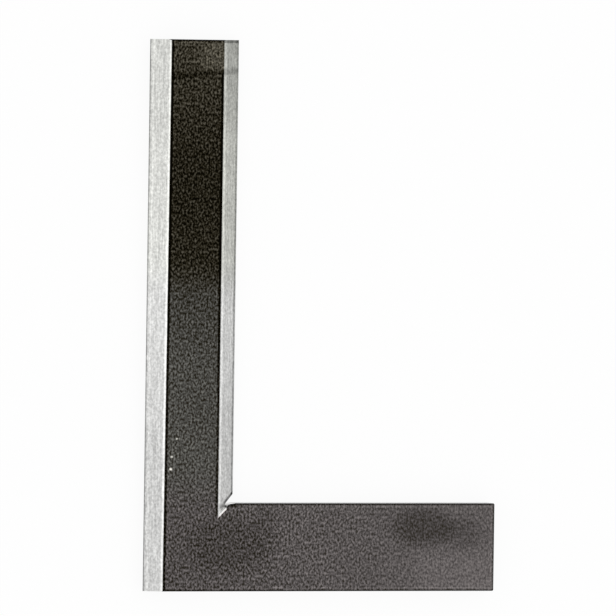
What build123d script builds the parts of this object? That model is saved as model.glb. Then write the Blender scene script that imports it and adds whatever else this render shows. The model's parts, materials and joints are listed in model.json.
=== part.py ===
from build123d import *
import math
import os

# A flat knife-edge machinist square, hardened steel, made from one plate.
# It lies on one side face. The blade runs along +Y, the leg along +X, and +Z is through the thickness.
# The origin is the outer right angle's corner, level with the lower side face.
# The base lies in the plane y = 0, and the outer knife edge touches the plane x = 0.

# Overall sizes, in millimetres
blade_height = 150.0
leg_length = 100.0
thickness = 6.0
blade_width = 25.3
leg_width = 24.0

# The blade's knife edges, in the middle of the thickness. The angle is from the mid-plane to each bevel.
bevel_angle = 30.0
knife_edge_radius = 0.2

# The inner corner. The mitre wall meets the leg's inner side a little way inside the inner knife edge, and the
# corner there is a shallow lip, so that the leg's measuring face starts just clear of the blade's overhang.
# A narrow relief slot keeps a workpiece's corner clear: its depth is the straight run past its rounded mouth.
mitre_setback = 1.5
lip_drop = 0.3
lip_clearance = 0.1
relief_width = 0.7
relief_depth = 0.1
relief_mouth_radius = 0.4

# The light break on the edges of the side faces, and on the upright corners of the leg's end
edge_break = 0.25


# The blade: a bar whose section is a flat hexagon, with its two knife edges rounded to a fine radius.
# The bevels' planes meet a little outside the rounded edge, so the section is drawn to those points.
mid_level = thickness / 2
sharp_reach = knife_edge_radius / math.sin(math.radians(bevel_angle)) - knife_edge_radius
bevel_run = mid_level / math.tan(math.radians(bevel_angle)) - sharp_reach
outer_arris = bevel_run
inner_arris = blade_width - bevel_run

section_outline = Polyline(
    (-sharp_reach, mid_level),
    (outer_arris, 0),
    (inner_arris, 0),
    (blade_width + sharp_reach, mid_level),
    (inner_arris, thickness),
    (outer_arris, thickness),
    close=True,
)
blade_section = make_face(Plane.XZ * section_outline)
knife_corners = blade_section.vertices().sort_by(Axis.X)
blade_section = fillet([knife_corners[0], knife_corners[-1]], knife_edge_radius)
blade = extrude(blade_section, amount=blade_height, dir=(0, 1, 0))

# The leg: the plate's full thickness, starting inside the blade. Beyond the lip, its inner side runs down to the
# blade's arris as a 45 degree wall, which stops the inner bevels in a mitre.
mitre_foot = blade_width - mitre_setback
mitre_drop = mitre_foot - inner_arris
lip_foot = Vector(mitre_foot - lip_drop, leg_width - lip_drop)
leg_outline = Polyline(
    (outer_arris, 0),
    (leg_length, 0),
    (leg_length, leg_width),
    (blade_width + lip_clearance, leg_width),
    lip_foot,
    (inner_arris, leg_width - mitre_drop),
    (outer_arris, leg_width - mitre_drop),
    close=True,
)
leg_face = make_face(leg_outline)
mouth_corner = leg_face.vertices().sort_by_distance(lip_foot)[0]
leg_face = fillet(mouth_corner, relief_mouth_radius)
leg = extrude(leg_face, amount=thickness)

square = blade + leg

# The relief: a slot through the blade at 45 degrees, with a round end. One of its sides carries on the mitre
# wall, and it is open to the lip, so that nothing of the blade is left between slot and leg.
diagonal = Vector(1, 1).normalized()
across = Vector(-1, 1).normalized()
mouth_run = relief_mouth_radius * math.tan(math.radians(45 / 2))
wall_start = lip_foot - diagonal * (mouth_run + relief_depth)
open_reach = blade_width + sharp_reach - wall_start.X
slot_length = relief_width / 2 + (open_reach + relief_width) * math.sqrt(2)
slot_centre = wall_start + diagonal * (slot_length - relief_width) / 2 + across * (relief_width / 2)
slot = Pos(slot_centre.X, slot_centre.Y) * SlotOverall(slot_length, relief_width, rotation=45)
mouth_outline = Polyline(
    wall_start,
    wall_start + Vector(open_reach, 0),
    wall_start + Vector(open_reach, open_reach),
    close=True,
)
mouth = make_face(mouth_outline) - leg_face
square -= extrude(slot, amount=thickness)
square -= extrude(mouth, amount=thickness)

# The edges of both side faces are broken, apart from the arrises, where the bevels meet them, which stay crisp.
# The upright corners of the leg's end have the same break.
side_edges = square.edges().filter_by(lambda edge: abs(edge.center().Z - mid_level) > mid_level - 0.001)
broken_edges = side_edges.filter_by(
    lambda edge: min(abs(edge.center().X - outer_arris), abs(edge.center().X - inner_arris)) > 0.001
)
end_corners = square.edges().filter_by(Axis.Z).group_by(Axis.X)[-1]
square = chamfer(broken_edges + end_corners, edge_break)

os.makedirs("parts", exist_ok=True)
export_step(square, "parts/machinist_square.step")
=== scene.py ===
import json
import math

import bpy
from mathutils import Matrix, Vector


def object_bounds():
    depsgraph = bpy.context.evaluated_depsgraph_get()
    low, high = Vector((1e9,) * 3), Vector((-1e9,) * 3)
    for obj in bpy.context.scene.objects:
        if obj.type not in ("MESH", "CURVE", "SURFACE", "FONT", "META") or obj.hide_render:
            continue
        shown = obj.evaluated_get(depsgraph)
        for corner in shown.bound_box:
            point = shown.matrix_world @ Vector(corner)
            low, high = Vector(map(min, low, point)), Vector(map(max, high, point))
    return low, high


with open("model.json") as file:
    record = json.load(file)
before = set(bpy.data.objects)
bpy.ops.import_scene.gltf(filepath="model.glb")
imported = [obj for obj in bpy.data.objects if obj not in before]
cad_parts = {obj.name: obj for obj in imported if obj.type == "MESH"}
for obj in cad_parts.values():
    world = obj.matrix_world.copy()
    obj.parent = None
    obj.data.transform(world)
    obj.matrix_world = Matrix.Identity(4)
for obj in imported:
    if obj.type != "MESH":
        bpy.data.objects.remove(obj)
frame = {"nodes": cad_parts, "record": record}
cad_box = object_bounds()


# The square's plate. It is one piece of hardened tool steel, with dark matt side faces. The knife-edge bevels
# and the measuring faces are ground bright along their length, once hard.
# Places are in millimetres from the outer corner, and a tone runs from 0 for black to 1 for white.
class Shade:
    """A number, colour or direction that changes over a surface: one output of a node in a finish."""

    tree = None

    def __init__(self, socket):
        self.socket = socket

    @classmethod
    def node(cls, kind, settings, sockets, output=0):
        added = cls.tree.nodes.new("ShaderNode" + kind)
        for name, setting in settings.items():
            setattr(added, name, setting)
        for name, value in sockets.items():
            if isinstance(value, Shade):
                cls.tree.links.new(value.socket, added.inputs[name])
            else:
                added.inputs[name].default_value = value
        return Shade(added.outputs[output])

    def math(self, operation, first, second):
        return Shade.node("Math", {"operation": operation}, {0: first, 1: second})

    def __add__(self, other):
        return self.math("ADD", self, other)

    def __radd__(self, other):
        return self.math("ADD", other, self)

    def __sub__(self, other):
        return self.math("SUBTRACT", self, other)

    def __rsub__(self, other):
        return self.math("SUBTRACT", other, self)

    def __mul__(self, other):
        return self.math("MULTIPLY", self, other)

    def __rmul__(self, other):
        return self.math("MULTIPLY", other, self)

    def __truediv__(self, other):
        return self.math("DIVIDE", self, other)

    def __pow__(self, other):
        return self.math("POWER", self, other)


def size_of(value):
    """The value without its sign."""
    return Shade.node("Math", {"operation": "ABSOLUTE"}, {0: value})


def along(axis, vector):
    """How far a place or a direction reaches along one axis."""
    return Shade.node("SeparateXYZ", {}, {0: vector}, axis)


def rises(value, start, full):
    """0 up to start, 1 from full on, and a soft slope between the two."""
    sockets = {"Value": value, "From Min": start, "From Max": full}
    return Shade.node("MapRange", {"interpolation_type": "SMOOTHSTEP"}, sockets)


def between(value, low, high, soft):
    """1 from low to high and 0 elsewhere, with borders that fade by soft to either side."""
    return rises(value, low - soft, low + soft) * rises(value, high + soft, high - soft)


def spot(x, y, centre, reach):
    """1 in an oval's middle, fading to 0 at its outline."""
    across = (x - centre[0]) / reach[0]
    upward = (y - centre[1]) / reach[1]
    return rises(across * across + upward * upward, 1.0, 0.1)


def mottle(place, cell, detail):
    """An irregular pattern round 0, with the size of its cells along X, Y and Z."""
    cells = (1 / cell[0], 1 / cell[1], 1 / cell[2])
    scaled = Shade.node("VectorMath", {"operation": "MULTIPLY"}, {0: place, 1: cells})
    return Shade.node("TexNoise", {}, {"Vector": scaled, "Scale": 1.0, "Detail": detail}) - 0.5


def blended(share, first, second):
    """The first colour where share is 0, the second where it is 1, and a mix of both between."""
    factor, colour_a, colour_b, colour_result = 0, 6, 7, 2
    sockets = {factor: share, colour_a: first, colour_b: second}
    return Shade.node("Mix", {"data_type": "RGBA"}, sockets, colour_result)


square = frame["nodes"]["machinist_square"]
steel = bpy.data.materials.new("ground_tool_steel")
steel.use_nodes = True
Shade.tree = steel.node_tree

# The plate's sizes, from the frame's box and mounts
millimetres = 1000.0
mount_places = {mount["name"]: mount["pos_m"] for mount in frame["record"]["mounts"]}
leg_end, blade_tip, plate_top = (size * millimetres for size in cad_box[1])
blade_width = mount_places["inner_knife_edge"][0] * millimetres
leg_width = mount_places["leg_inner_face"][1] * millimetres
mid_width = blade_width / 2
mid_level = plate_top / 2

# Where a point of the plate is, and how far in from its outline
place = Shade.node(
    "VectorMath",
    {"operation": "SCALE"},
    {0: Shade.node("TexCoord", {}, {}, "Object"), "Scale": millimetres},
)
x = along("X", place)
y = along("Y", place)
height = along("Z", place)
from_knife = blade_width - x
from_tip = blade_tip - y
from_leg_end = leg_end - x
from_leg_side = leg_width - y
upper_half = rises(height, mid_level - 0.1, mid_level + 0.1)

# How level the surface is tells its faces apart. A side face is level, at 1, and a bevel leans 30 degrees, at
# 0.87. A broken edge leans 45 degrees, at 0.71, and a wall stands upright, at 0.
facing = Shade.node("TexCoord", {}, {}, "Normal")
level = size_of(along("Z", facing))
side_face = rises(level, 0.95, 0.98)
bevel = rises(level, 0.76, 0.82) * (1 - side_face)
inner_bevel = bevel * rises(x, mid_width - 0.5, mid_width + 0.5)
wall = 1 - rises(level, 0.5, 0.6)
edge_break = (1 - wall) * (1 - side_face) * (1 - bevel)

# The arrises as they show. They are a little rubbed or soiled, so the outer one leans against the true one,
# and a narrow strip beside each has the look of the neighbouring face.
mitre_bottom = 20.5
border = 0.04
outer_lean = 0.0031
outer_edge = 5.0 + outer_lean * (y - 80.0)
inner_edge = 20.24
past_outer = x - outer_edge
rubbed = between(x, inner_edge, 20.4, border) * rises(y, mitre_bottom, mitre_bottom + 0.4)
rubbed = rubbed + rises(past_outer, border, -border)
soiled = bevel * between(x, outer_edge, 5.2, border)
matt = side_face * (1 - rubbed) + soiled

# The side faces are matt and finely mottled. Painted reflection darkens them up the blade to its free half,
# and leaves them paler again towards the tip and along the leg, most of all at the leg's lower corner.
matt_tone = 0.3
fine = mottle(place, cell=(0.52, 0.76, 0.6), detail=2.0)
coarse = mottle(place, cell=(6.0, 6.0, 6.0), detail=3.0)
pits = rises(fine, -0.28, 0.28) - 0.5
# The blade's free half, where the painted reflection is darkest
dark_reflection_half = rises(y, 79.0, 91.0)
darker_blade = 0.022 * rises(y, 35.0, 50.0) + 0.045 * rises(y, 60.0, 80.0) + 0.02 * rises(y, 92.0, 108.0)
paler_tip = 0.083 * rises(y, 112.0, 146.0)
paler_leg = 0.034 * rises(x, 18.0, 48.0) + 0.02 * rises(x, 60.0, 98.0)
paler_corner = 0.04 * rises(x, 65.0, 85.0) * rises(y, 14.0, 6.0)
grain = 0.42 + 0.03 * dark_reflection_half - 0.17 * rises(x, 35.0, 95.0)
face_tone = matt_tone - 0.11 * dark_reflection_half - darker_blade + paler_tip + paler_leg + paler_corner
face_tone = face_tone + 0.06 * coarse + grain * pits

# Slow patches on the upper face alone: a pale one at the tip, and dark ones near the leg's end and the corner
tip_patch = 0.085 * spot(x, y, centre=(19.5, 145.5), reach=(8.5, 6.5))
end_patch = 0.085 * spot(x, y, centre=(79.5, 17.5), reach=(11.5, 6.5))
end_patch = end_patch + 0.04 * spot(x, y, centre=(90.0, 16.0), reach=(7.0, 5.5))
corner_patch = 0.045 * spot(x, y, centre=(22.5, 12.5), reach=(14.0, 10.0))
corner_patch = corner_patch + 0.025 * spot(x, y, centre=(33.5, 15.0), reach=(5.0, 12.0))
patches = (tip_patch - end_patch - corner_patch) * upper_half

# The ground faces: fine lines that run level along the bevels and along every measuring face. The bevels
# carry painted reflection, paler and darker by turns along the blade, and painted shade keeps the inner one
# darker than the outer, dimming further towards the tip.
bright_tone = 0.795
lines = mottle(place, cell=(5.0, 5.0, 0.18), detail=2.0)
outer_painted_light = 0.025 * between(y, 82.0, 110.0, 25.0) - 0.015 * rises(y, 112.0, 125.0)
outer_painted_light = outer_painted_light - 0.03 * rises(y, 50.0, 38.0)
inner_painted_light = 0.03 * between(y, 56.0, 80.0, 5.0) + 0.035 * between(y, 106.0, 126.0, 5.0) - 0.05
inner_painted_light = inner_painted_light - 0.11 * rises(y, 65.0, 155.0) - 0.02 * rises(y, 141.0, 147.0)
ground_painted_light = outer_painted_light * (1 - inner_bevel) + inner_painted_light * inner_bevel
ground_tone = bright_tone + ground_painted_light + 0.3 * lines + 0.16 * pits

# The mitre at the inner corner is ground last, and a painted highlight makes its wall, its rim and the foot
# of the bevel beside it the brightest. Beyond that bright line painted shade dulls the bevel, and a painted
# shadow darkens it beside the relief. A painted highlight lies on the lip, too.
mitre_setback = 1.5
from_mitre = y - x - (leg_width - blade_width + mitre_setback)
mitre_highlight = (1 - bevel) * between(from_mitre, -0.55, 0.1, 0.08) * between(x, 20.2, 22.7, 0.1)
mitre_foot_highlight = inner_bevel * between(from_mitre, 0.0, 0.3, 0.1) * between(x, 21.2, 22.4, 0.2)
mitre_shade = inner_bevel * between(from_mitre, 0.8, 2.0, 0.35)
relief_shadow = between(from_mitre, 1.0, 1.9, 0.15) * rises(x, 22.1, 22.5)
relief_shadow = inner_bevel * (relief_shadow + spot(x, y, centre=(22.75, 23.0), reach=(0.45, 0.5)))
lip_highlight = wall * between(x, 23.0, 25.4, 0.1) * between(from_leg_side, 0.0, 0.6, 0.1)

# The rubbed arrises: a bright line on the bevel's side, and a dark one beside it where the face begins
bright_line = 0.15 * between(past_outer, -0.5, -0.05, 0.12) + 0.12 * between(x, 20.45, 21.1, 0.12)
bright_line = bright_line * (bevel + side_face)
inner_dark = between(x, inner_edge - 0.7, inner_edge - 0.05, 0.12) * between(y, mitre_bottom, 141.0, 1.0)
dark_line = between(past_outer, 0.05, 0.7, 0.12) + inner_dark * (1 - 0.25 * rises(y, 65.0, 45.0))
pale_line = between(past_outer, 0.9, 1.4, 0.2)

# The knife edges: a thin dark line inside each, with a pale one inside the outer line
outer_knife_line = 0.7 * between(x, 0.08, 0.3, 0.08) - 0.25 * between(x, 0.7, 1.1, 0.12)
inner_knife_line = between(from_knife, 0.2, 0.7, 0.1) * rises(y, 25.0, 26.0)
inner_knife_line = inner_knife_line * (1 - 0.55 * rises(y, 105.0, 135.0))
knife_line = bevel * (outer_knife_line + inner_knife_line)

# The outer edges of the side faces: a thin dark line inside the broken edge, and a paler one inside that
leg_side_rim = rises(from_leg_side, 0.55, 0.4) * between(x, blade_width, leg_end - 0.8, 0.2)
lip_rim = rises(y - 0.16 * x, 19.22, 19.36) * between(x, 23.4, blade_width, 0.2)
rim = rises(y, 0.55, 0.4) + rises(from_leg_end, 0.6, 0.45) + rises(from_tip, 0.55, 0.4)
rim = rim + leg_side_rim + 1.6 * lip_rim
pale_rim = between(y, 0.75, 1.05, 0.1) + between(from_leg_end, 0.8, 1.1, 0.1)
pale_rim = pale_rim + between(from_leg_side, 0.8, 1.1, 0.1) * rises(x, 26.0, 30.0)
pale_rim = pale_rim + between(from_tip, 0.7, 1.0, 0.1)
tip_line = inner_bevel * rises(from_tip, 0.9, 0.7)

# A faint painted reflection line right across the blade near its tip, and three small nicks beside the outer
# arris
reflection_line = between(y - 0.1 * x, 138.4, 140.0, 0.5) * rises(x, 5.0, 6.0) * upper_half
top_nick = spot(x, y, centre=(8.2, 41.5), reach=(0.35, 0.35))
middle_nick = spot(x, y, centre=(6.8, 36.6), reach=(0.5, 0.45))
low_nick = spot(x, y, centre=(6.6, 33.3), reach=(0.55, 0.5))
nicks = (top_nick + middle_nick + 1.2 * low_nick) * upper_half

face_tone = face_tone + patches - 0.25 * dark_line * (1 - mitre_highlight) - 0.12 * rim
face_tone = face_tone + 0.04 * pale_line + 0.06 * pale_rim + 0.45 * nicks + 0.6 * mitre_highlight
ground_tone = ground_tone + bright_line - 0.2 * knife_line - 0.2 * tip_line
ground_tone = ground_tone + 0.17 * mitre_foot_highlight - 0.1 * mitre_shade - 0.22 * relief_shadow + 0.2 * lip_highlight
# The broken edges are darkened almost to black and painted shade dims the walls, except at the mitre
# highlight
ground_tone = ground_tone - (0.78 * edge_break + 0.07 * wall) * (1 - mitre_highlight) + 0.2 * mitre_highlight
tone = matt * face_tone + (1 - matt) * ground_tone - 0.09 * reflection_line

# A tone is as the eye and a screen have it, and the finish is written as the light that it gives back.
screen_foot = 0.055
screen_power = 2.4
shown_tone = Shade.node("Clamp", {}, {"Value": tone, "Min": 0.02, "Max": 1.0})
light = ((shown_tone + screen_foot) / (1 + screen_foot)) ** screen_power
light = Shade.node("CombineXYZ", {}, {"X": light, "Y": light, "Z": light})

# The tints: brown where the tone is darkest, and more so on the free half, a warm grey on the blade and a
# redder one on the leg. The ground faces are a bright grey, a little yellower on the free half.
dark_brown = (1.4, 1.11, 0.5, 1.0)
blade_grey = (1.03, 1.01, 0.92, 1.0)
leg_grey = (1.08, 0.975, 0.96, 1.0)
bright_grey = (1.0, 1.0, 0.985, 1.0)
yellowed_grey = (1.0, 1.01, 0.94, 1.0)
matt_grey = blended(rises(y, 36.0, 20.0), blade_grey, leg_grey)
greyed = rises(tone, 0.0, 0.3) * (1 - 0.3 * dark_reflection_half)
matt_tint = blended(greyed, dark_brown, matt_grey)
yellowed_share = dark_reflection_half * (0.5 + 0.5 * rises(x, mid_width - 0.5, mid_width + 0.5))
bright_tint = blended(yellowed_share, bright_grey, yellowed_grey)
tint = blended(matt, bright_tint, matt_tint)
colour = Shade.node("VectorMath", {"operation": "MULTIPLY"}, {0: tint, 1: light})

roughness = 0.3 + matt * (0.16 + 0.15 * pits) + 0.15 * (1 - matt) * lines
surface_height = matt * (pits + 0.3 * coarse) + (1 - matt) * lines
bump = Shade.node("Bump", {}, {"Strength": 0.5, "Distance": 0.00002, "Height": surface_height})

steel_shader = steel.node_tree.nodes["Principled BSDF"]
steel_shader.inputs["Metallic"].default_value = 1.0
steel.node_tree.links.new(colour.socket, steel_shader.inputs["Base Color"])
steel.node_tree.links.new(roughness.socket, steel_shader.inputs["Roughness"])
steel.node_tree.links.new(bump.socket, steel_shader.inputs["Normal"])
square.material_slots[0].material = steel


# The floor: a wide sheet of white paper under the square, which shows white and keeps a trace of its shadow.
# It lies a tenth of a millimetre below the square. From here on, places and sizes are in metres.
floor_reach = 6.0
floor_level = -0.0001
floor_corners = [
    (-floor_reach, -floor_reach, floor_level),
    (floor_reach, -floor_reach, floor_level),
    (floor_reach, floor_reach, floor_level),
    (-floor_reach, floor_reach, floor_level),
]
floor_mesh = bpy.data.meshes.new("paper_floor")
floor_mesh.from_pydata(floor_corners, [], [(0, 1, 2, 3)])
floor = bpy.data.objects.new("paper_floor", floor_mesh)
bpy.context.scene.collection.objects.link(floor)

paper = bpy.data.materials.new("white_paper")
paper.use_nodes = True
Shade.tree = paper.node_tree
floor_mesh.materials.append(paper)
paper_shader = paper.node_tree.nodes["Principled BSDF"]
paper_shader.inputs["Base Color"].default_value = (0.9, 0.9, 0.9, 1.0)
paper_shader.inputs["Roughness"].default_value = 0.9
paper_shader.inputs["Specular IOR Level"].default_value = 0.1

# The paper is seen nine tenths as plain white, so that only a trace of the shadow shows.
white_share = 0.9
white = Shade.node("Emission", {}, {"Color": (1.0, 1.0, 1.0, 1.0), "Strength": 1.0})
seen = Shade.node("LightPath", {}, {}, "Is Camera Ray") + Shade.node("LightPath", {}, {}, "Is Glossy Ray")
seen = seen + Shade.node("LightPath", {}, {}, "Is Transmission Ray")
paper_look = Shade(paper_shader.outputs["BSDF"])
shown = Shade.node("MixShader", {}, {0: seen * white_share, 1: paper_look, 2: white})
paper.node_tree.links.new(shown.socket, paper.node_tree.nodes["Material Output"].inputs["Surface"])


# The light of a plain white studio, with one large soft lamp on the blade's outer side and a weaker one
# opposite. A lamp's power is in watts.
world = bpy.data.worlds.new("studio")
bpy.context.scene.world = world
world.use_nodes = True
background = world.node_tree.nodes["Background"]
background.inputs["Color"].default_value = (1.0, 1.0, 1.0, 1.0)
background.inputs["Strength"].default_value = 1.0


def soft_lamp(name, position, target, width, power):
    lamp = bpy.data.lights.new(name, "AREA")
    lamp.size = width
    lamp.energy = power
    holder = bpy.data.objects.new(name, lamp)
    holder.location = position
    holder.rotation_mode = "QUATERNION"
    holder.rotation_quaternion = (target - Vector(position)).to_track_quat("-Z", "Y")
    holder.visible_camera = False
    bpy.context.scene.collection.objects.link(holder)


square_centre = (cad_box[0] + cad_box[1]) / 2
soft_lamp("outer_side_lamp", (-0.75, 0.15, 0.85), square_centre, width=0.8, power=0.35)
soft_lamp("inner_side_lamp", (0.95, -0.1, 0.6), square_centre, width=0.6, power=0.15)


# The camera: a long lens that looks down, about a fifth of a right angle over to the blade's outer side.
# Angles are in radians. The scale is in pixels for each metre, and the centre in pixels from the square's.
azimuth = -0.32086
elevation = 0.02386
roll = 0.01436
camera_distance = 3.0
scale_at_centre = 3663.03
picture_width = 616
picture_centre = (13.099, -8.199)

towards_camera = Vector(
    (
        math.sin(azimuth) * math.cos(elevation),
        math.sin(elevation),
        math.cos(azimuth) * math.cos(elevation),
    )
)
level_right = Vector((0.0, 1.0, 0.0)).cross(towards_camera).normalized()
level_up = towards_camera.cross(level_right)
right = level_right * math.cos(roll) + level_up * math.sin(roll)
up = level_up * math.cos(roll) - level_right * math.sin(roll)
aim = square_centre - (right * picture_centre[0] + up * picture_centre[1]) / scale_at_centre

lens = bpy.data.cameras.new("camera")
lens.sensor_width = 36.0
lens.lens = scale_at_centre * camera_distance * lens.sensor_width / picture_width
lens.clip_start = 0.1
lens.clip_end = 20.0
camera = bpy.data.objects.new("camera", lens)
bpy.context.scene.collection.objects.link(camera)
turned = Matrix((right, up, towards_camera)).transposed()
camera.matrix_world = Matrix.Translation(aim + towards_camera * camera_distance) @ turned.to_4x4()
bpy.context.scene.camera = camera

bpy.context.scene.view_settings.view_transform = "Standard"
